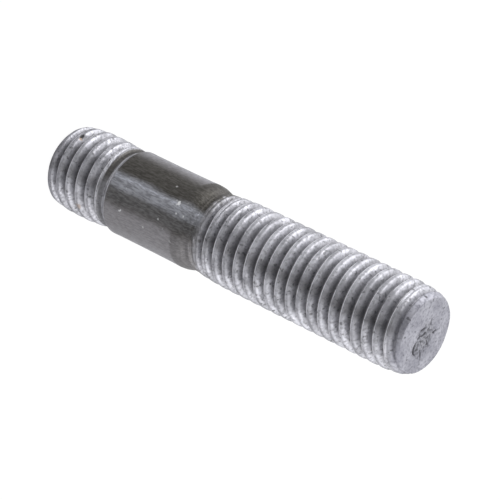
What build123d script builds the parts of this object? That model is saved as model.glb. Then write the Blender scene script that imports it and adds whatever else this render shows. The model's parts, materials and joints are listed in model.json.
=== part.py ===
from build123d import *
from build123d.topology import SkipClean
from math import atan, ceil, degrees, radians, tan
import os

# A double ended stud, M12 x 1.75, in millimetres. It stands on its metal end, the short end that is
# screwed into a casting, with the plain shank above it and the long nut end on top. The bar was
# turned to a rolling blank at both ends, so each thread starts from a neck thinner than the shank.

# Lengths along the stud, from the metal end up
metal_end_length = 11.0
shank_length = 11.8
nut_end_length = 37.2

# Diameters
nominal_diameter = 12.0
shank_diameter = 11.8
neck_diameter = 10.86
nut_crest_diameter = 11.83
metal_crest_diameter = 11.92
nut_rim_diameter = 10.18
metal_rim_diameter = 10.26

# The lead at each free end, where the crests sink towards a chamfered rim
nut_lead_length = 3.2
metal_lead_length = 2.8
rim_chamfer_length = 0.7
rim_chamfer_depth = 0.45

# The shoulders between the shank and the necks
metal_shoulder_length = 0.65
nut_shoulder_length = 2.0
nut_shoulder_blend = 4.0

# The run-out of each thread: where it starts to fade, and the half-filled first crests
metal_neck_length = 0.75
metal_lip_diameter = 11.5
metal_lip_length = 0.35
metal_run_out_length = 2.4
nut_neck_length = 0.4
nut_run_out_length = 4.0

# The thread form: a V of 60 degrees down to the standard root, which leaves the crests as broad as
# the rolled ones look
thread_pitch = 1.75
flank_angle = 60.0
root_depth_per_pitch = 0.61343
metal_thread_clocking = 138.0
nut_thread_clocking = 149.0
nut_crest_sectors = 8
metal_crest_sectors = 12
cutter_overlap = 0.4
run_out_overlap = 0.1

overall_length = metal_end_length + shank_length + nut_end_length
shank_radius = shank_diameter / 2
neck_radius = neck_diameter / 2
nut_crest_radius = nut_crest_diameter / 2
metal_crest_radius = metal_crest_diameter / 2
root_radius = nominal_diameter / 2 - root_depth_per_pitch * thread_pitch

# Heights of the metal end's run-out, from its neck down to full crests
metal_neck_base = metal_end_length - metal_shoulder_length - metal_neck_length
metal_lip_height = metal_neck_base - metal_lip_length
metal_crest_top = metal_lip_height - metal_run_out_length

# Heights of the nut end's run-out, from the shank up to full crests
shank_top = metal_end_length + shank_length
nut_neck_base = shank_top + nut_shoulder_length
nut_neck_top = nut_neck_base + nut_neck_length
nut_crest_base = nut_neck_top + nut_run_out_length


def turned(outline, sweep_angle=360):
    """Revolve a closed outline of lines and arcs, drawn with radius as x and height as y."""
    return revolve(make_face(Plane.XZ * outline), Axis.Z, sweep_angle)


def lead(rim_radius, crest_radius, length):
    """The free end of a thread's blank: a flat face, a chamfer and a long taper up to full crests."""
    outline = Polyline(
        (0, 0),
        (rim_radius, 0),
        (rim_radius + rim_chamfer_depth, rim_chamfer_length),
        (crest_radius, length),
        (0, length),
        close=True,
    )
    return turned(outline)


def crest_band(radius, base, top, sectors):
    """The stretch of full crests, in sectors, so that each crest keeps short cylindrical faces."""
    sector_angle = 360 / sectors
    outline = Polyline((0, base), (radius, base), (radius, top), (0, top), close=True)
    sector = Rot(0, 0, sector_angle / 2) * turned(outline, sector_angle)
    return [Rot(0, 0, sector_angle * i) * sector for i in range(sectors)]


def middle():
    """Everything between the two bands of full crests: run-outs, necks, shoulders and shank."""
    corners = Polyline(
        (0, metal_crest_top),
        (metal_crest_radius, metal_crest_top),
        (metal_lip_diameter / 2, metal_lip_height),
        (neck_radius, metal_neck_base),
        (neck_radius, metal_end_length - metal_shoulder_length),
        (shank_radius, metal_end_length),
        (shank_radius, shank_top),
        (neck_radius, nut_neck_base),
        (neck_radius, nut_neck_top),
        (nut_crest_radius, nut_crest_base),
        (0, nut_crest_base),
        close=True,
    )
    section = make_face(corners)
    shoulder = section.vertices().filter_by(lambda v: abs(v.Y - shank_top) < 1e-6)
    section = fillet(shoulder, nut_shoulder_blend)
    return revolve(Plane.XZ * section, Axis.Z)


def groove_section(crest_radius):
    """The section of the thread's groove in a plane through the axis, a little past the crests."""
    outer_radius = crest_radius + cutter_overlap
    half_width = (outer_radius - root_radius) * tan(radians(flank_angle / 2))
    outline = Polyline(
        (root_radius, 0),
        (outer_radius, -half_width),
        (outer_radius, half_width),
        close=True,
    )
    return make_face(Plane.XZ * outline)


def thread_cutters(crest_radius, run_out_start):
    """Full turns from beyond the free end up to run_out_start, then a turn that climbs to the neck."""
    section = groove_section(crest_radius)
    turn = sweep(section, path=Edge.make_helix(thread_pitch, thread_pitch, root_radius), is_frenet=True)
    climb = degrees(atan((neck_radius + run_out_overlap - root_radius) / thread_pitch))
    last_path = Edge.make_helix(thread_pitch, thread_pitch, root_radius, angle=climb)
    last_turn = sweep(section, path=last_path, is_frenet=True)
    full_turns = ceil(run_out_start / thread_pitch) + 1
    cutters = [Pos(0, 0, run_out_start - thread_pitch * (i + 1)) * turn for i in range(full_turns)]
    return cutters + [Pos(0, 0, run_out_start) * last_turn]


def double_ended_stud():
    metal_end = Rot(0, 0, metal_thread_clocking)
    nut_end = Pos(0, 0, overall_length) * Rot(0, 0, nut_thread_clocking) * Rot(180, 0, 0)
    metal_band = crest_band(metal_crest_radius, metal_lead_length, metal_crest_top, metal_crest_sectors)
    nut_band_top = overall_length - nut_crest_base
    nut_band = crest_band(nut_crest_radius, nut_lead_length, nut_band_top, nut_crest_sectors)
    metal_run_out = metal_neck_base - thread_pitch
    nut_run_out = overall_length - nut_neck_top - thread_pitch

    # From the nut end's face down
    nut_lead = nut_end * lead(nut_rim_diameter / 2, nut_crest_radius, nut_lead_length)
    pieces = [nut_end * sector for sector in nut_band]
    pieces += [middle()]
    pieces += [metal_end * sector for sector in metal_band]
    pieces += [lead(metal_rim_diameter / 2, metal_crest_radius, metal_lead_length)]
    grooves = [nut_end * cutter for cutter in thread_cutters(nut_crest_radius, nut_run_out)]
    grooves += [metal_end * cutter for cutter in thread_cutters(metal_crest_radius, metal_run_out)]

    # The sectors' edges are kept on the crests, so neither step merges faces
    with SkipClean():
        blank = nut_lead.fuse(*pieces)
        return blank.cut(*grooves)


os.makedirs("parts", exist_ok=True)
stud = double_ended_stud()
stud.label = "stud"
export_step(stud, "parts/stud.step")
print("stud", round(stud.volume, 1), "mm3,", len(stud.faces()), "faces, overall", overall_length, "mm")
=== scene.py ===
# %% [markdown]
# A double ended stud, dressed in Blender.
# It is one bar of steel with a rolled thread at each end: the short metal end, which is screwed into a
# casting, and the long nut end. Between them lies the plain shank, dark with oil and rolling film.
# The stud stands on its metal end, as it would on a bench, and the camera looks down on it.

# %% Load the packed model
import bisect
import json
import math

import bmesh
import bpy
from mathutils import Matrix, Vector, noise


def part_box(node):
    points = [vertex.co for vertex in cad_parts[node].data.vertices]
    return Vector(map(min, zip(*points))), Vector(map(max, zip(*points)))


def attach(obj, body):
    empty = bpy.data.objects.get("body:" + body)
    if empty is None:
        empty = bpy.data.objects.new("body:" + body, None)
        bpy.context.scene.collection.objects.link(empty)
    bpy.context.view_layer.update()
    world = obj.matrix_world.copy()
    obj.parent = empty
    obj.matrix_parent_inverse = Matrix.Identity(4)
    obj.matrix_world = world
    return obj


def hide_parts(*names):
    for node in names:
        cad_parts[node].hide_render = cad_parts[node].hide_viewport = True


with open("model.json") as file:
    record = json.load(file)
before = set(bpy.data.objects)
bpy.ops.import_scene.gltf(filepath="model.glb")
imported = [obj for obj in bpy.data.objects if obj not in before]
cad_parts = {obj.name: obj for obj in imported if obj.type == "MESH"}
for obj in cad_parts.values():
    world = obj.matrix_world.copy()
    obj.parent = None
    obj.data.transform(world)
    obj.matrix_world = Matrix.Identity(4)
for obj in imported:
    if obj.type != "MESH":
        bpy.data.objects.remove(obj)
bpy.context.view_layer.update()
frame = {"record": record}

MM = 0.001

# %% [markdown]
# The stud's sizes could be typed in again here, but then a change to the solid would leave the looks
# behind. They come from the frame instead: the record's mounts hold the diameters, and the node's box
# holds the length. Only the thread's own form is written down, since the standard fixes it.

# %% Sizes, in millimetres
mounts = {m["name"]: m for m in frame["record"]["mounts"]}
OVERALL = (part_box("stud")[1][2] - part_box("stud")[0][2]) / MM
NUT_CREST = mounts["nut_end"]["dims"]["r_mm"]
METAL_CREST = mounts["metal_end"]["dims"]["r_mm"]
SHANK = mounts["shank"]["dims"]["r_mm"]
PITCH = 1.75
ROOT = 4.926
NECK = 5.43
FLANK_SLOPE = math.sqrt(3)
print("overall", round(OVERALL, 2), "crests", NUT_CREST, METAL_CREST, "shank", SHANK)

# %% [markdown]
# The bar was turned before its threads were rolled, and the outline follows that blank with its crests
# on. At the free ends the crests sink in a lead, so that a nut starts easily. Beside the shank they fade
# into a neck. A list of heights and radii is enough, because a lathe leaves the same outline all round.

# %% Outline of the crests
OUTLINE = [
    (0.0, 5.13), (0.3, 5.42), (0.65, 5.6), (1.35, 5.72), (2.0, 5.81), (2.75, 5.9), (3.6, METAL_CREST),
    (6.4, METAL_CREST), (7.3, 5.87), (8.0, 5.81), (9.05, 5.76), (9.25, 5.73), (9.6, 5.46), (9.75, NECK),
    (10.3, NECK), (10.4, 5.47), (10.95, SHANK - 0.03), (11.05, SHANK + 0.01), (11.3, SHANK + 0.02),
    (12.0, SHANK - 0.01), (17.0, SHANK - 0.02), (21.6, SHANK), (23.0, SHANK + 0.04), (23.75, 5.87),
    (24.1, 5.78), (24.45, 5.68), (24.8, 5.53), (25.1, NECK), (25.4, 5.46), (26.2, 5.585), (26.9, 5.65),
    (27.6, 5.75), (29.0, 5.84), (30.0, 5.9), (31.0, NUT_CREST), (56.0, NUT_CREST), (56.8, 5.88),
    (58.0, 5.76), (58.72, 5.66), (59.1, 5.56), (59.42, 5.46), (59.8, 5.28), (OVERALL, 5.09),
]
OUTLINE_HEIGHTS = [height for height, radius in OUTLINE]


def outline_radius(z):
    """The crests' radius at height z, in straight lines from point to point."""
    if z <= OUTLINE_HEIGHTS[0]:
        return OUTLINE[0][1]
    if z >= OUTLINE_HEIGHTS[-1]:
        return OUTLINE[-1][1]
    i = bisect.bisect_right(OUTLINE_HEIGHTS, z)
    (z0, r0), (z1, r1) = OUTLINE[i - 1], OUTLINE[i]
    return r0 + (r1 - r0) * (z - z0) / (z1 - z0)


print("outline of", len(OUTLINE), "points, radius half way up", round(outline_radius(OVERALL / 2), 3))

# %% [markdown]
# A thread could be modelled as a stack of rings, but then it would not be a thread. Here both threads are
# cut from one helical skin. A column of edges as tall as the stud is spun once round the axis and climbs
# one pitch on the way, so the last column lands on the first, one pitch up. The rows of the mesh then
# follow the thread, which keeps its crests and roots sharp with few faces. The spin leaves its faces in
# a chance order, so they are sorted by place, and each run of the script makes the same mesh.

# %% Helical skin
TURN_STEPS = 144
PITCH_STEPS = 16
SPARE_TURNS = 3
COLUMN_RADIUS = 6
MERGE_GAP = 0.002
METAL_PHASE = 0.18
# The two threads were rolled apart, so the nut end's is shifted along the axis, under the plain shank
THREAD_SHIFT = -0.205
SHIFT_START, SHIFT_END = 12.0, 22.0
# A direction in which no two points of the stud are level, so that a sort along it leaves no ties
SLANT = Vector((0.377, 0.613, 1.0))


def ramp(x, start, end):
    """0 before start, 1 after end, and a smooth rise between them."""
    s = min(max((x - start) / (end - start), 0.0), 1.0)
    return s * s * (3 - 2 * s)


def groove_place(theta, z):
    """Signed distance from the nearest groove's centre, and the height of that centre."""
    z = z - THREAD_SHIFT * ramp(z, SHIFT_START, SHIFT_END)
    along = (z - METAL_PHASE - PITCH * theta / math.tau) / PITCH
    nearest = round(along)
    return (along - nearest) * PITCH, z - (along - nearest) * PITCH


def settle_order(bm):
    """Sorts points, edges and faces by their places."""
    bm.verts.sort(key=lambda v: v.co.dot(SLANT))
    bm.edges.sort(key=lambda e: (e.verts[0].co + e.verts[1].co).dot(SLANT))
    bm.faces.sort(key=lambda f: f.calc_center_median().dot(SLANT))


def helical_skin():
    bm = bmesh.new()
    turns = math.ceil(OVERALL / PITCH) + SPARE_TURNS
    bottom = METAL_PHASE - 2 * PITCH
    low = bm.verts.new((COLUMN_RADIUS * MM, 0, bottom * MM))
    high = bm.verts.new((COLUMN_RADIUS * MM, 0, (bottom + turns * PITCH) * MM))
    edge = bm.edges.new((low, high))
    bmesh.ops.subdivide_edges(bm, edges=[edge], cuts=turns * PITCH_STEPS - 1)
    bmesh.ops.spin(
        bm,
        geom=bm.verts[:] + bm.edges[:],
        cent=(0, 0, 0),
        axis=(0, 0, 1),
        dvec=(0, 0, PITCH * MM / TURN_STEPS),
        angle=math.tau,
        steps=TURN_STEPS,
        use_merge=False,
    )
    bmesh.ops.remove_doubles(bm, verts=bm.verts, dist=MERGE_GAP * MM)
    settle_order(bm)
    return bm


skin = helical_skin()
print("skin", len(skin.verts), "vertices,", len(skin.faces), "faces")

# %% [markdown]
# A rolled bar is cropped to length, and the skin is too: a plane at each end cuts its climbing rows off
# level. More planes put rings of edges at the shoulders and necks, because the helical rows cross those
# corners at a slant and would leave them ragged.

# %% Cut the skin to length
EDGE_RINGS = (9.25, 9.6, 9.75, 10.3, 10.95, 11.05, 23.75, 24.8, 25.1)
RING_REACH = 0.5
CUT_GAP = 0.001

for v in skin.verts:
    z = v.co.z / MM
    v.co.z = (z + THREAD_SHIFT * ramp(z, SHIFT_START, SHIFT_END)) * MM

for height, outer, inner in [(0.0, False, True), (OVERALL, True, False)]:
    bmesh.ops.bisect_plane(
        skin,
        geom=skin.verts[:] + skin.edges[:] + skin.faces[:],
        dist=CUT_GAP * MM,
        plane_co=(0, 0, height * MM),
        plane_no=(0, 0, 1),
        clear_outer=outer,
        clear_inner=inner,
    )
for height in EDGE_RINGS:
    near = [f for f in skin.faces if abs(f.calc_center_median().z / MM - height) < RING_REACH]
    # A dict drops repeats as a set does, but keeps their order
    edges = dict.fromkeys(e for f in near for e in f.edges)
    verts = dict.fromkeys(v for f in near for v in f.verts)
    bmesh.ops.bisect_plane(
        skin,
        geom=list(verts) + list(edges) + near,
        dist=CUT_GAP * MM,
        plane_co=(0, 0, height * MM),
        plane_no=(0, 0, 1),
    )
print("cut skin", len(skin.verts), "vertices")

# %% [markdown]
# Each row of the skin now gets its radius: the flanks of a 60 degree V, trimmed by the crests' outline.
# Rolling presses the metal up out of the grooves, so near the necks, where the dies ran out, the crests
# stay half filled and keep a seam between two lips. Setting radii row by row costs no extra faces, where
# a boolean cut would leave slivers along every crest. A little noise takes the lathe's perfection off.

# %% Shape the thread
METAL_RUN_OUT = 7.85
NUT_RUN_OUT = OVERALL - 33.05
# How fast the groove's floor rises past the last full turn, in mm a pitch, and once more after a pitch
RUN_OUT_CLIMB = 0.6
LIFT_OFF_CLIMB = 2.0
CREST_BLEND = 0.13
ROOT_ROUNDING = 0.04
FLANK_DROP = 0.03
SEAM_DEPTH = 0.17
SEAM_WIDTH = 0.10
# Where the crests are half filled, as heights where the seam starts, is full, starts to fade and ends,
# and its strength
SEAMS = [(7.0, 8.6, 9.3, 9.6, 1.0), (25.3, 25.9, 28.2, 31.5, 1.0), (57.2, 58.4, 59.3, 59.6, 0.7)]
# Uneven surface, as depth and fineness of the noise, and how far it lies under the nominal size
UNEVEN = [(0.020, 0.8), (0.010, 3.3)]
UNEVEN_DROP = 0.014
SMOOTH_START, SMOOTH_END, SMOOTH_SHARE = 11.0, 24.5, 0.5


def soft_min(a, b, blend):
    """The smaller of a and b, rounded where they meet."""
    h = max(blend - abs(a - b), 0.0) / blend
    return min(a, b) - h * h * blend / 4


def speckle(x, y, z, fineness):
    """Smooth noise between -1 and 1, with grains of about 1 / fineness."""
    return noise.noise((x * fineness, y * fineness, z * fineness))


def run_out_floor(past):
    """The groove's floor where the dies lift off, by how many pitches it is past the last full turn."""
    return ROOT + RUN_OUT_CLIMB * max(past, 0) + LIFT_OFF_CLIMB * max(past - 1, 0)


def thread_radius(theta, z):
    """The radius of the thread's flanks and roots, before the outline trims its crests."""
    off, centre = groove_place(theta, z)
    flank = ROOT - FLANK_DROP + math.hypot(off, ROOT_ROUNDING) * FLANK_SLOPE
    if centre > OVERALL / 3:
        return max(flank, run_out_floor((NUT_RUN_OUT - centre) / PITCH))
    return max(flank, run_out_floor((centre - METAL_RUN_OUT) / PITCH))


def seam(theta, z):
    """Depth of the seam between the lips of a half-filled crest."""
    off, centre = groove_place(theta, z)
    from_crest = PITCH / 2 - abs(off)
    strength = sum(share * ramp(z, start, full) * (1 - ramp(z, fade, end))
                   for start, full, fade, end, share in SEAMS)
    return SEAM_DEPTH * math.exp(-((from_crest / SEAM_WIDTH) ** 2)) * strength


for v in skin.verts:
    theta = math.atan2(v.co.y, v.co.x) % math.tau
    z = v.co.z / MM
    radius = soft_min(outline_radius(z) - seam(theta, z), thread_radius(theta, z), CREST_BLEND)
    direction = Vector((math.cos(theta), math.sin(theta), 0))
    x, y = (direction * radius).xy
    uneven = sum(depth * speckle(x, y, z, fineness) for depth, fineness in UNEVEN) - UNEVEN_DROP
    radius += uneven * (SMOOTH_SHARE if SMOOTH_START < z < SMOOTH_END else 1.0)
    v.co = (*(direction * radius * MM).xy, v.co.z)
print("thickest", round(max(v.co.xy.length for v in skin.verts) / MM, 3), "mm from the axis")

# %% [markdown]
# Both ends of the bar are flat where it was cropped. One many-sided face would close each end, but the
# torn marks need points to press in, so the end is filled with rings that shrink towards the centre. The
# nut end, which shows, gets many rings, and the metal end, which stands on the floor, gets few.

# %% Close the ends
NUT_FACE_RINGS = 50
METAL_FACE_RINGS = 8
RIM_GAP = 0.01


def close_end(bm, height, rings):
    """Fills an end with rings of faces that shrink towards the centre."""
    rim = [e for e in bm.edges if e.is_boundary and abs(e.verts[0].co.z / MM - height) < RIM_GAP]
    start = len(bm.faces)
    for i in range(rings):
        made = bmesh.ops.extrude_edge_only(bm, edges=rim)["geom"]
        rim = [e for e in made if isinstance(e, bmesh.types.BMEdge)]
        rim_verts = [g for g in made if isinstance(g, bmesh.types.BMVert)]
        shrink = (rings - i - 1) / (rings - i)
        bmesh.ops.scale(bm, vec=(shrink, shrink, 1), verts=rim_verts)
    bmesh.ops.remove_doubles(bm, verts=rim_verts, dist=RIM_GAP * MM)
    return len(bm.faces) - start


print("end faces", close_end(skin, 0.0, METAL_FACE_RINGS), close_end(skin, OVERALL, NUT_FACE_RINGS))

# %% [markdown]
# The bar was cropped before rolling, and the nut end's face still shows where the metal tore: a rough
# patch with a curled chip and short gouges. A bump texture could draw them, but a torn edge throws real
# shadows, so they are pressed into the face's rings, which lie closer together than the marks are wide.

# %% Torn end face
# Gouges as x, y at both ends, width and depth, seen from above
GOUGES = [
    (-1.15, 1.95, -0.75, 1.65, 0.16, 0.2), (-1.0, 1.05, -0.68, 0.05, 0.10, 0.15),
    (-2.2, -0.2, -1.55, 0.15, 0.20, 0.125), (-0.75, -0.75, -0.35, -1.15, 0.22, 0.1875),
    (-0.25, -0.1, 0.25, -0.45, 0.18, 0.25), (0.9, 1.7, 0.4, 1.05, 0.11, 0.1875),
    (2.2, 1.05, 3.0, 1.6, 0.11, 0.1625), (1.9, 0.6, 2.7, 1.15, 0.09, 0.125),
    (-1.3, -0.95, -0.9, -0.55, 0.12, 0.125), (0.35, -0.75, 0.75, -1.15, 0.16, 0.2),
    (-4.15, -2.05, -3.9, -2.2, 0.16, 0.075), (-0.4, 1.1, 0.3, 1.5, 0.14, 0.125),
]
CHIP_CENTRE = (1.55, 0.15)
CHIP_RADIUS = 1.25
CHIP_MIDDLE = math.radians(-55)
CHIP_SPREAD = math.radians(62)
CHIP_WIDTH = 0.24
CHIP_HORN = 0.05
CHIP_DEPTH = 0.312
TORN_CENTRE = (0.6, 0.35)
TORN_REACH = (2.5, 2.0)
TORN_FADE = (0.65, 1.1)
TORN_RAGGED = 0.25
TORN_DROP = 0.03
FACE_WAVE = 0.02
# Noises on the face, as fineness and the height at which each is read, so that no two are alike
TORN_NOISE = (1.2, 3.0)
WAVE_NOISE = (0.6, 8.0)
# Crumbled metal, as depth, fineness and height
CRUMBLE = [(0.20, 1.7, 0.0), (0.09, 4.5, 5.0)]
FACE_RADIUS = 4.98
FLAT_RIM = 0.28
ON_FACE = OVERALL - 0.001


def gouge_depth(x, y):
    deepest = 0.0
    for x0, y0, x1, y1, width, depth in GOUGES:
        dx, dy = x1 - x0, y1 - y0
        s = min(max(((x - x0) * dx + (y - y0) * dy) / (dx * dx + dy * dy), 0), 1)
        gap = math.hypot(x - x0 - s * dx, y - y0 - s * dy)
        deepest = max(deepest, depth * math.exp(-((gap / width) ** 2)))
    return deepest


def chip_depth(x, y):
    """A crescent: deepest in its middle, with thin horns."""
    dx, dy = x - CHIP_CENTRE[0], y - CHIP_CENTRE[1]
    along = abs((math.atan2(dy, dx) - CHIP_MIDDLE + math.pi) % math.tau - math.pi) / CHIP_SPREAD
    width = CHIP_WIDTH * max(1 - along * along, CHIP_HORN)
    gap = (math.hypot(dx, dy) - CHIP_RADIUS) / width
    return CHIP_DEPTH * math.exp(-gap * gap) * max(1 - along ** 3, 0)


def face_noise(x, y, fineness, height):
    return speckle(x, y, height, fineness)


def torn_share(x, y):
    """How torn the face is at a place, from 0 to 1."""
    dx, dy = (x - TORN_CENTRE[0]) / TORN_REACH[0], (y - TORN_CENTRE[1]) / TORN_REACH[1]
    return 1 - ramp(math.hypot(dx, dy) + TORN_RAGGED * face_noise(x, y, *TORN_NOISE), *TORN_FADE)


def face_depth(x, y):
    """How deep the face lies under the flat, from its waves, crumbled metal, gouges and chip."""
    torn = torn_share(x, y)
    crumble = sum(depth * abs(face_noise(x, y, *kind)) for depth, *kind in CRUMBLE)
    waves = FACE_WAVE + FACE_WAVE * face_noise(x, y, *WAVE_NOISE)
    return max(torn * crumble + waves, torn * TORN_DROP + gouge_depth(x, y), chip_depth(x, y))


for v in skin.verts:
    x, y, z = v.co / MM
    from_axis = math.hypot(x, y)
    if z > ON_FACE and from_axis < FACE_RADIUS:
        rim_share = ramp(from_axis, FACE_RADIUS - FLAT_RIM, FACE_RADIUS)
        v.co.z -= face_depth(x, y) * (1 - rim_share) * MM
print("deepest mark in the face", round(max(face_depth(x / 10, y / 10) for x in range(-40, 41)
                                            for y in range(-40, 41)), 2), "mm")

# %% [markdown]
# A stud rattles against others in its box, which bruises its crests and nicks its shank. Each mark is a
# soft hollow in the bar's side. They are listed one by one where the photograph shows them, because
# marks strewn at random would be in the wrong places.

# %% Bruises and nicks
# Each as height, angle in degrees round from +X, reach along and across the stud, and depth
DENTS = [
    (2.35, 228.0, 0.50, 0.42, 0.34), (22.2, 256.5, 0.42, 0.40, 0.07), (22.65, 269.3, 0.2, 0.2, 0.05),
    (23.8, 269.5, 0.2, 0.2, 0.05), (20.2, 236.5, 0.22, 0.22, 0.04), (20.3, 286.5, 0.24, 0.26, 0.05),
    (13.8, 268.6, 0.24, 0.24, 0.04), (13.9, 299.0, 0.28, 0.20, 0.05), (18.1, 306.3, 0.2, 0.2, 0.04),
    (59.55, 13.5, 0.35, 0.25, 0.22), (42.0, 340.0, 0.9, 0.35, 0.25), (27.3, 294.0, 0.35, 0.4, 0.12),
    (9.0, 250.0, 0.3, 0.5, 0.08), (48.6, 246.0, 0.25, 0.6, 0.07), (38.2, 240.0, 0.3, 0.4, 0.07),
    (52.7, 305.0, 0.2, 0.3, 0.08), (45.4, 302.0, 0.2, 0.3, 0.08), (35.5, 307.0, 0.25, 0.3, 0.08),
]
SIDE_RADIUS = 4.9


def dent_depth(theta, z, radius):
    deepest = 0.0
    for height, angle, along, across, depth in DENTS:
        if abs(z - height) < 3 * along:
            turned = (math.degrees(theta) - angle + 180) % 360 - 180
            arc = math.radians(turned) * radius
            deepest = max(deepest, depth * math.exp(-((z - height) / along) ** 2 - (arc / across) ** 2))
    return deepest


for v in skin.verts:
    x, y, z = v.co / MM
    radius = math.hypot(x, y)
    if radius > SIDE_RADIUS and z < ON_FACE:
        shrink = 1 - dent_depth(math.atan2(y, x) % math.tau, z, radius) / radius
        v.co.x, v.co.y = v.co.x * shrink, v.co.y * shrink
print(len(DENTS), "bruises and nicks")

# %% [markdown]
# The finish differs from place to place. The shank keeps a dark olive film of oil and scale, scuffed to a
# bluish streak in front; at its sides the film turns grey or gives way to bare metal, partly from wear and
# partly as a painted sheen. The crests are bare and pale, painted shade darkens the roots, the necks and a
# stripe along one side, and a painted glint runs along each crest's lower lip. An image could be painted
# for this, but each vertex can carry what lies there as numbers, which need no unwrapping and follow the
# thread exactly.

# %% Where each finish lies
# Heights over which the film starts and ends, and where the nut end's slope begins
FILM_START = (10.95, 11.15)
FILM_END = (25.7, 27.4)
# Where the bared and grey sides, partly wear and partly painted sheen, fade on the nut end's slope
SLOPE_BARED_SHEEN = (22.7, 23.1)
SLOPE_WEAR_SHEEN = (22.6, 23.0)
FILM_RAGGED, FILM_FINENESS = 0.9, 1.5
# Bands of heights by the necks, as start, end, edge and share
NECK_FILM = (9.35, 10.25, 0.1, 0.85)
# Painted shade in the metal end's neck, given as extra depth
NECK_GROOVE_SHADE = (9.4, 10.2, 0.1)
# Painted shade over the metal end's neck, and over the nut end's neck and run-out
NECK_SHADE = (9.35, 10.25, 0.12)
RUN_OUT_SHADE = (25.0, 28.6, 1.2, 0.5)
# Bands round the stud in degrees from its front, where +90 is the side towards -X, and how far they drift
DRIFT, DRIFT_FINENESS, DRIFT_STRETCH = 3, 0.9, 0.3
# The shank's film is bared at its sides: partly wear, partly painted sheen
BARED_SHEEN_HIGH = (68, 122, 12, 0.6)
BARED_SHEEN_LOW = (-116, -66, 14, 0.35)
NECK_FILM_SIDE = (0, 150, 12)
STREAK = (8, 16, 5)
SCUFFED = (-3, 17, 6, 0.62)
SCUFFED_FAINT = (-20, 0, 5, 0.13)
# The shank's film turns grey at its sides: partly wear, partly painted sheen
WEAR_SHEEN_HIGH = (59, 134, 13)
WEAR_SHEEN_LOW = (-132, -24.5, 9.5)
# A stripe of painted shade along one side of the threads, and a faint one beside it
SHADE_STRIPE = (-19, -4, 6)
SHADE_STRIPE_FAINT = (-3, 22, 6, 0.1)
# How much wear and painted sheen each side of the shank gets, and how much less on the slope
WEAR_SHEEN_HIGH_SHARE, WEAR_SHEEN_HIGH_LOSS = 0.9, 0.8
WEAR_SHEEN_LOW_SHARE, WEAR_SHEEN_LOW_LOSS = 1.0, 0.42
CROPPED_START = (58.3, 59.3)
# Where the painted glint along the crests' lower lips ends, and its width and inset
LIP_GLINT_END = (58.0, 58.6)
LIP_GLINT_WIDTH = 0.075
LIP_GLINT_INSET = 0.04
THREAD_DEPTH = 0.95
# Depths at which the torn patch starts to darken and is fully dark: partly torn metal, partly painted shade
TORN_SHADE_START, TORN_SHADE_FULL = 0.03, 0.17
FACE_MARKS = 0.6
LAYERS = ("film", "scuff", "worn", "oil", "depth", "torn", "cropped", "lip")


def band(x, start, end, edge, share=1.0):
    """The share between start and end, with soft edges."""
    return share * ramp(x, start - edge, start + edge) * (1 - ramp(x, end - edge, end + edge))


def finish_at(x, y, z):
    """What lies on the steel at a place, with the painted shade, sheen and glint, from 0 to 1 each, by the
    names of LAYERS.
    """
    from_axis = math.hypot(x, y)
    side = (450 - math.degrees(math.atan2(y, x))) % 360 - 180
    side += DRIFT * speckle(x, y, z * DRIFT_STRETCH, DRIFT_FINENESS)
    ragged_z = z + FILM_RAGGED * speckle(x, y, z, FILM_FINENESS)
    film = ramp(z, *FILM_START) * (1 - ramp(ragged_z, *FILM_END))
    # Film bared at the shank's sides: partly wear, partly painted sheen
    bared_and_sheen = band(side, *BARED_SHEEN_HIGH) + band(side, *BARED_SHEEN_LOW)
    neck_film = band(z, *NECK_FILM) * band(side, *NECK_FILM_SIDE)
    scuff = max(band(side, *STREAK), band(side, *SCUFFED), band(side, *SCUFFED_FAINT))
    slope = ramp(z, *SLOPE_WEAR_SHEEN)
    # Film greyed at the shank's sides: partly wear, partly painted sheen
    worn_high = band(side, *WEAR_SHEEN_HIGH, WEAR_SHEEN_HIGH_SHARE - WEAR_SHEEN_HIGH_LOSS * slope)
    worn_low = band(side, *WEAR_SHEEN_LOW, WEAR_SHEEN_LOW_SHARE - WEAR_SHEEN_LOW_LOSS * slope)
    # Painted shade: a stripe along one side of the threads and bands at the necks
    oil = max(band(side, *SHADE_STRIPE), band(side, *SHADE_STRIPE_FAINT), band(z, *NECK_SHADE), band(z, *RUN_OUT_SHADE))
    groove_half = (outline_radius(z) - ROOT) / FLANK_SLOPE
    off, centre = groove_place(math.atan2(y, x) % math.tau, z)
    from_lip = (off - groove_half - LIP_GLINT_INSET) / LIP_GLINT_WIDTH
    # How deep under the crests a point lies, which sets the painted shade in the grooves
    depth = max(outline_radius(z) - from_axis, 0) / THREAD_DEPTH
    finish = {
        "film": max(film * (1 - bared_and_sheen * (1 - ramp(z, *SLOPE_BARED_SHEEN))), neck_film),
        "scuff": film * scuff,
        "worn": film * max(worn_high, worn_low),
        "oil": oil,
        "depth": min(max(depth, band(z, *NECK_GROOVE_SHADE)), 1),
        "torn": 0.0,
        "cropped": ramp(z, *CROPPED_START),
        "lip": (1 - film) * (1 - ramp(z, *LIP_GLINT_END)) * math.exp(-from_lip * from_lip),
    }
    if z > OVERALL - FACE_MARKS and from_axis < FACE_RADIUS:
        finish["depth"] = finish["oil"] = 0.0
        # The torn patch is darker the deeper its marks lie: partly torn metal, partly painted shade
        finish["torn"] = min(max(OVERALL - z - TORN_SHADE_START, 0) / TORN_SHADE_FULL, 1)
    return finish


layers = {name: skin.verts.layers.float.new(name) for name in LAYERS}
for v in skin.verts:
    for name, share in finish_at(*(v.co / MM)).items():
        v[layers[name]] = share
print("vertices under film:", sum(v[layers["film"]] > 0.5 for v in skin.verts))

# %% [markdown]
# The bmesh now becomes one object that stands in for the solid stud. It rides on the part's only body
# and replaces the stud's node. Smooth shading suits it, because the rows are close enough for the crests'
# edges to stay crisp without any split normals.

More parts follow.
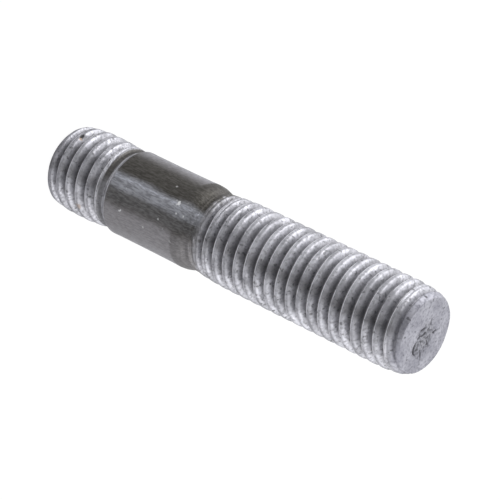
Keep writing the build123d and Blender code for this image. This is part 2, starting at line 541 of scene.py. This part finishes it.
# %% Finish the stud's mesh
settle_order(skin)
bmesh.ops.recalc_face_normals(skin, faces=skin.faces)
for f in skin.faces:
    f.smooth = True
mesh = bpy.data.meshes.new("stud_body")
skin.to_mesh(mesh)
skin.free()
stud = bpy.data.objects.new("stud_body", mesh)
bpy.context.collection.objects.link(stud)
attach(stud, "root")
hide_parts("stud")
triangles = sum(len(p.vertices) - 2 for p in mesh.polygons)
print("stud", triangles, "triangles")

# %% [markdown]
# Small spots lie on top of the finish: bright nicks through the film, dark pits and a few stains of rust.
# Each is a short distance from a point on the bar, made ragged with noise. That is exact and cheap, where
# a random texture would need luck to put the one stain on the metal end in its place.

# %% Spots on the steel
# Each as height, angle in degrees round from +X, reach and strength
NICKS = [
    (22.2, 256.5, 0.34, 1.0), (22.0, 259.0, 0.16, 0.6), (22.65, 269.3, 0.17, 0.7), (23.8, 269.5, 0.17, 0.7),
    (20.2, 236.5, 0.18, 0.45), (20.3, 286.5, 0.20, 0.55), (13.8, 268.6, 0.20, 0.4),
    (13.75, 299.6, 0.15, 0.7), (13.95, 298.4, 0.15, 0.7), (18.1, 306.3, 0.18, 0.45), (21.4, 294.7, 0.2, 0.25),
    (22.8, 307.3, 0.2, 0.25), (23.4, 251.0, 0.22, 0.25), (21.7, 254.0, 0.16, 0.3),
]
PITS = [
    (2.4, 227.6, 0.55, 0.9), (42.1, 337.4, 0.45, 0.7), (41.8, 342.0, 0.4, 0.5), (42.5, 309.3, 0.25, 0.7),
    (46.4, 312.2, 0.25, 0.6), (54.8, 313.0, 0.25, 0.6), (35.4, 288.9, 0.3, 0.5), (35.8, 314.0, 0.3, 0.6),
    (49.3, 286.9, 0.22, 0.7), (38.6, 294.7, 0.25, 0.5), (48.0, 310.0, 0.25, 0.5), (44.0, 294.7, 0.25, 0.5),
    (44.4, 314.0, 0.3, 0.5), (45.8, 221.0, 0.25, 0.5), (34.4, 217.0, 0.25, 0.5), (4.0, 318.0, 0.3, 0.5),
    (7.9, 300.0, 0.3, 0.5), (27.4, 290.0, 0.35, 0.6), (28.3, 283.0, 0.3, 0.5), (51.0, 306.0, 0.3, 0.45),
]
RUST = [(2.75, 233.5, 0.42, 0.75), (6.3, 323.8, 0.50, 0.5), (27.7, 294.7, 0.30, 0.45), (6.4, 253.0, 0.35, 0.25)]
# How far under the crests each kind is centred; then for its reach, how ragged it is and its full core
SPOT_INSET = 0.05
PIT_INSET = 0.22
RAGGED = 2.4
CORE = 0.45
print(len(NICKS), "nicks,", len(PITS), "pits,", len(RUST), "stains")

# %% [markdown]
# A material is a graph of nodes, and most of this one is the same few nodes over and over: a sum, a mix
# of two colours, a range, a noise. Short names for them keep the steel readable.

# %% Short names for nodes
def new_material(name):
    material = bpy.data.materials.new(name)
    material.use_nodes = True
    nodes = material.node_tree.nodes
    nodes.clear()
    return material, nodes, material.node_tree.links


class Shader:
    """Short names for the nodes that the steel uses."""

    def __init__(self, nodes, links):
        self.nodes, self.links = nodes, links

    def put(self, socket, value):
        if isinstance(value, bpy.types.NodeSocket):
            self.links.new(value, socket)
        else:
            socket.default_value = value

    def math(self, operation, a, b=0.0):
        node = self.nodes.new("ShaderNodeMath")
        node.operation = operation
        self.put(node.inputs[0], a)
        self.put(node.inputs[1], b)
        return node.outputs["Value"]

    def times(self, a, b):
        return self.math("MULTIPLY", a, b)

    def mix(self, share, a, b):
        node = self.nodes.new("ShaderNodeMix")
        node.data_type = "RGBA"
        self.put(node.inputs["Factor"], share)
        self.put(node.inputs[6], a)
        self.put(node.inputs[7], b)
        return node.outputs[2]

    def fit(self, value, low, high, to_low=0.0, to_high=1.0):
        node = self.nodes.new("ShaderNodeMapRange")
        node.interpolation_type = "SMOOTHSTEP"
        self.put(node.inputs["Value"], value)
        self.put(node.inputs["From Min"], low)
        self.put(node.inputs["From Max"], high)
        self.put(node.inputs["To Min"], to_low)
        self.put(node.inputs["To Max"], to_high)
        return node.outputs["Result"]

    def noise(self, coords, scale, detail, stretch=(1, 1, 1)):
        mapping = self.nodes.new("ShaderNodeMapping")
        mapping.inputs["Scale"].default_value = stretch
        self.links.new(coords, mapping.inputs["Vector"])
        node = self.nodes.new("ShaderNodeTexNoise")
        node.inputs["Scale"].default_value = scale
        node.inputs["Detail"].default_value = detail
        self.links.new(mapping.outputs["Vector"], node.inputs["Vector"])
        return node.outputs["Fac"]

    def attribute(self, name):
        node = self.nodes.new("ShaderNodeAttribute")
        node.attribute_name = name
        return node.outputs["Fac"]

    def spots(self, coords, places, grain, inset=SPOT_INSET):
        """The strongest of a list of spots: height, angle, reach and strength."""
        total = 0.0
        for height, angle, reach, strength in places:
            a = math.radians(angle)
            r = outline_radius(height) - inset
            node = self.nodes.new("ShaderNodeVectorMath")
            node.operation = "DISTANCE"
            self.links.new(coords, node.inputs[0])
            node.inputs[1].default_value = (r * MM * math.cos(a), r * MM * math.sin(a), height * MM)
            ragged = self.math("MULTIPLY_ADD", grain, reach * RAGGED * MM)
            ragged.node.inputs[2].default_value = -reach * RAGGED / 2 * MM
            gap = self.math("ADD", node.outputs["Value"], ragged)
            spot = self.fit(gap, reach * MM * CORE, reach * MM, strength, 0.0)
            total = spot if isinstance(total, float) else self.math("MAXIMUM", total, spot)
        return total


print("node helpers:", [name for name in vars(Shader) if not name.startswith("_")])

# %% [markdown]
# The steel is one metal shader, since it is one bar. Its colour goes from bare crests to roots darkened by
# painted shade, then to the film on the shank, and the spots go on last. Painted shade also darkens the
# necks and a stripe along one side, and a painted glint lines each crest's lower lip. The roughness stays
# high: rolled threads are dull, and a polished metal would mirror the lamps. A thin coat over the film
# gives it its oily shine.

# %% Steel
# Fineness and detail of each noise
GRAIN, PITTING, CLOUD = (2600, 4), (1750, 1.5), (420, 4)
STREAKS, STREAK_STRETCH = (5200, 5), (1, 1, 0.22)
# Colours, each pair from dark to light
BARE = (0.45, 0.45, 0.485, 1), (0.70, 0.70, 0.75, 1)
BARE_GRAIN = (0.28, 0.28, 0.30, 1)
# Painted shade, for a stripe along one side and the necks
SHADE_DARK = (0.15, 0.145, 0.15, 1)
MATT = (0.36, 0.36, 0.41, 1), (0.47, 0.47, 0.52, 1)
MATT_GRAIN = (0.26, 0.26, 0.30, 1)
# Painted shade, darker the deeper a point lies under the crests
GROOVE_SHADE = (0.16, 0.16, 0.168, 1)
# A painted glint, near white, along each crest's lower lip
LIP_GLINT = (0.93, 0.93, 0.97, 1)
FINE_PIT = (0.10, 0.10, 0.105, 1)
# Torn metal, darkened partly as painted shade in the face's marks
TORN_SHADE = (0.08, 0.08, 0.087, 1)
OLIVE = (0.073, 0.068, 0.061, 1), (0.125, 0.119, 0.110, 1)
RUBBED = (0.38, 0.39, 0.43, 1), (0.66, 0.68, 0.75, 1)
# Grey film at the shank's sides: partly wear, partly painted sheen
WEAR_SHEEN_GREY = (0.295, 0.286, 0.298, 1), (0.385, 0.374, 0.392, 1)
NICK = (0.95, 0.96, 0.97, 1)
PIT = (0.045, 0.040, 0.038, 1)
STAIN = (0.34, 0.22, 0.13, 1)
BUMP_DEPTH = 0.045
ROUGHNESS = (0.44, 0.60)
ROUGHER = 0.1
COAT, COAT_ROUGHNESS = 0.15, 0.35


def thread_colour(sh, layer, grain, pits, cloud):
    """Bare or matt metal, with painted shade in the grooves, at the necks and along one side, a painted glint
    on the lips, fine pits, and the torn patch, dark partly as torn metal and partly as painted shade in its
    marks.
    """
    bare = sh.mix(sh.fit(cloud, 0.32, 0.68), *BARE)
    bare = sh.mix(sh.fit(grain, 0.45, 0.70, 0.0, 0.55), bare, BARE_GRAIN)
    # Painted shade along one side and at the necks
    bare = sh.mix(sh.times(layer["oil"], 0.45), bare, SHADE_DARK)
    matt = sh.mix(sh.fit(cloud, 0.35, 0.65), *MATT)
    matt = sh.mix(sh.fit(grain, 0.45, 0.68, 0.0, 0.5), matt, MATT_GRAIN)
    bare = sh.mix(sh.times(layer["cropped"], 0.9), bare, matt)
    # Painted shade: the deeper under the crests, the darker
    groove_shade = sh.fit(sh.math("ADD", layer["depth"], sh.times(grain, 0.25)), 0.2, 1.1, 0.0, 0.62)
    thread = sh.mix(groove_shade, bare, GROOVE_SHADE)
    # A painted glint along each crest's lower lip
    lip = sh.fit(sh.times(layer["lip"], sh.fit(cloud, 0.25, 0.50)), 0.12, 0.7, 0.0, 0.95)
    thread = sh.mix(lip, thread, LIP_GLINT)
    thread = sh.mix(sh.fit(pits, 0.625, 0.71, 0.0, 0.6), thread, FINE_PIT)
    return sh.mix(sh.times(layer["torn"], 0.85), thread, TORN_SHADE)


def shank_colour(sh, layer, streaks):
    """Olive film, greyed at the sides partly by wear and partly as painted sheen, and scuffed to bright metal,
    all with fine streaks along the bar.
    """
    olive = sh.mix(sh.fit(streaks, 0.35, 0.65), *OLIVE)
    rubbed = sh.mix(sh.fit(streaks, 0.36, 0.64), *RUBBED)
    wear_sheen_grey = sh.mix(sh.fit(streaks, 0.35, 0.65), *WEAR_SHEEN_GREY)
    return sh.mix(layer["scuff"], sh.mix(layer["worn"], olive, wear_sheen_grey), rubbed)


def steel():
    material, nodes, links = new_material("rolled_steel")
    sh = Shader(nodes, links)
    coords = nodes.new("ShaderNodeTexCoord").outputs["Object"]
    grain, pits, cloud = (sh.noise(coords, *kind) for kind in (GRAIN, PITTING, CLOUD))
    streaks = sh.noise(coords, *STREAKS, STREAK_STRETCH)
    layer = {name: sh.attribute(name) for name in LAYERS}

    thread = thread_colour(sh, layer, grain, pits, cloud)
    colour = sh.mix(layer["film"], thread, shank_colour(sh, layer, streaks))
    colour = sh.mix(sh.spots(coords, NICKS, grain), colour, NICK)
    colour = sh.mix(sh.spots(coords, PITS, grain, PIT_INSET), colour, PIT)
    rust = sh.spots(coords, RUST, grain)
    colour = sh.mix(rust, colour, STAIN)

    rough = sh.fit(grain, 0.3, 0.7, *ROUGHNESS)
    rough = sh.math("ADD", rough, sh.times(layer["torn"], ROUGHER))
    rough = sh.math("ADD", rough, sh.times(layer["cropped"], ROUGHER))

    bump = nodes.new("ShaderNodeBump")
    bump.inputs["Distance"].default_value = BUMP_DEPTH * MM
    sh.put(bump.inputs["Height"], sh.math("ADD", grain, sh.times(pits, 0.5)))

    shader = nodes.new("ShaderNodeBsdfPrincipled")
    sh.put(shader.inputs["Base Color"], colour)
    sh.put(shader.inputs["Metallic"], sh.math("SUBTRACT", 1.0, sh.times(rust, 0.8)))
    sh.put(shader.inputs["Roughness"], rough)
    sh.put(shader.inputs["Coat Weight"], sh.times(layer["film"], COAT))
    shader.inputs["Coat Roughness"].default_value = COAT_ROUGHNESS
    sh.put(shader.inputs["Normal"], bump.outputs["Normal"])
    output = nodes.new("ShaderNodeOutputMaterial")
    links.new(shader.outputs["BSDF"], output.inputs["Surface"])
    print("steel of", len(nodes), "nodes")
    return material


mesh.materials.append(steel())

# %% [markdown]
# The stud was photographed on white paper that is almost lost in light. A plain white plane would turn
# grey in the corners, so the floor glows for the camera, and only the small share of it that is diffuse
# still takes the stud's shadow.

# %% Floor
FLOOR_HALF = 1.5
FLOOR_DROP = 0.02
FLOOR_COLOUR = (0.62, 0.62, 0.63, 1)
FLOOR_GLOW = 1.08
FLOOR_GLOW_SHARE = 0.9


def white_floor():
    material, nodes, links = new_material("pale_floor")
    output = nodes.new("ShaderNodeOutputMaterial")
    diffuse = nodes.new("ShaderNodeBsdfDiffuse")
    diffuse.inputs["Color"].default_value = FLOOR_COLOUR
    glow = nodes.new("ShaderNodeEmission")
    glow.inputs["Strength"].default_value = FLOOR_GLOW
    path = nodes.new("ShaderNodeLightPath")
    mix = nodes.new("ShaderNodeMixShader")
    scale = nodes.new("ShaderNodeMath")
    scale.operation = "MULTIPLY"
    scale.inputs[1].default_value = FLOOR_GLOW_SHARE
    links.new(path.outputs["Is Camera Ray"], scale.inputs[0])
    links.new(scale.outputs["Value"], mix.inputs["Fac"])
    links.new(diffuse.outputs["BSDF"], mix.inputs[1])
    links.new(glow.outputs["Emission"], mix.inputs[2])
    links.new(mix.outputs["Shader"], output.inputs["Surface"])
    return material


floor_bm = bmesh.new()
bmesh.ops.create_grid(floor_bm, x_segments=1, y_segments=1, size=FLOOR_HALF)
bmesh.ops.translate(floor_bm, vec=(0, 0, -FLOOR_DROP * MM), verts=floor_bm.verts)
floor_mesh = bpy.data.meshes.new("floor")
floor_bm.to_mesh(floor_mesh)
floor_bm.free()
floor = bpy.data.objects.new("floor", floor_mesh)
bpy.context.collection.objects.link(floor)
floor_mesh.materials.append(white_floor())
print("floor", 2 * FLOOR_HALF, "m wide")

# %% [markdown]
# Bare metal shows little but what it mirrors, so the lamps are chosen for their reflections. Two soft
# boxes, left and right, draw the pale stripes along the threads and leave a darker stripe between them,
# which painted shade in the steel's colour deepens.
# A broad one behind lights the top, and a weak white world keeps the shadows soft.

# %% World and lamps
WORLD_STRENGTH = 0.33
# Each lamp as name, place, width and height in millimetres, and power in watts
LAMPS = [
    ("key_lamp", (-220, 10, 120), 340, 260, 0.58),
    ("fill_lamp", (220, 0, 120), 360, 280, 0.29),
    ("back_lamp", (0, 380, 360), 1100, 420, 1.5),
    ("side_lamp", (240, 130, 400), 300, 300, 0.25),
]


def softbox(name, place, width, height, power):
    """A lamp at place that faces the middle of the stud."""
    lamp = bpy.data.lights.new(name, "AREA")
    lamp.shape = "RECTANGLE"
    lamp.size, lamp.size_y = width * MM, height * MM
    lamp.energy = power
    holder = bpy.data.objects.new(name, lamp)
    holder.location = Vector(place) * MM
    aim = Vector((0, 0, OVERALL / 2)) * MM - holder.location
    holder.rotation_euler = aim.to_track_quat("-Z", "Y").to_euler()
    bpy.context.collection.objects.link(holder)


world = bpy.data.worlds.new("studio")
world.use_nodes = True
world.node_tree.nodes["Background"].inputs["Color"].default_value = (1, 1, 1, 1)
world.node_tree.nodes["Background"].inputs["Strength"].default_value = WORLD_STRENGTH
bpy.context.scene.world = world
for lamp in LAMPS:
    softbox(*lamp)
print(len(LAMPS), "lamps")

# %% [markdown]
# The photograph shows the stud lying across the picture, but the part stands on its end. Both agree if the
# camera looks down from the front and is rolled on its side. Its place, tilt, roll and lens were fitted
# to the stud's two outlines and its end face, so the render can be laid over the photograph.

# %% Camera
CAMERA_PLACE = (0.0, -287.91, 216.57)
CAMERA_TILT = math.radians(57.264)
CAMERA_ROLL = math.radians(116.05)
CAMERA_LENS = 191.13
camera_data = bpy.data.cameras.new("camera")
camera_data.sensor_width = 36
camera_data.lens = CAMERA_LENS
camera_data.clip_start = 0.01
camera = bpy.data.objects.new("camera", camera_data)
turn = Matrix.Rotation(CAMERA_TILT, 4, "X") @ Matrix.Rotation(CAMERA_ROLL, 4, "Z")
camera.matrix_world = Matrix.Translation(Vector(CAMERA_PLACE) * MM) @ turn
bpy.context.collection.objects.link(camera)
bpy.context.scene.camera = camera
bpy.context.scene.view_settings.view_transform = "Standard"
print("camera", round(Vector(CAMERA_PLACE).length), "mm from the stud's foot")

# %% [markdown]
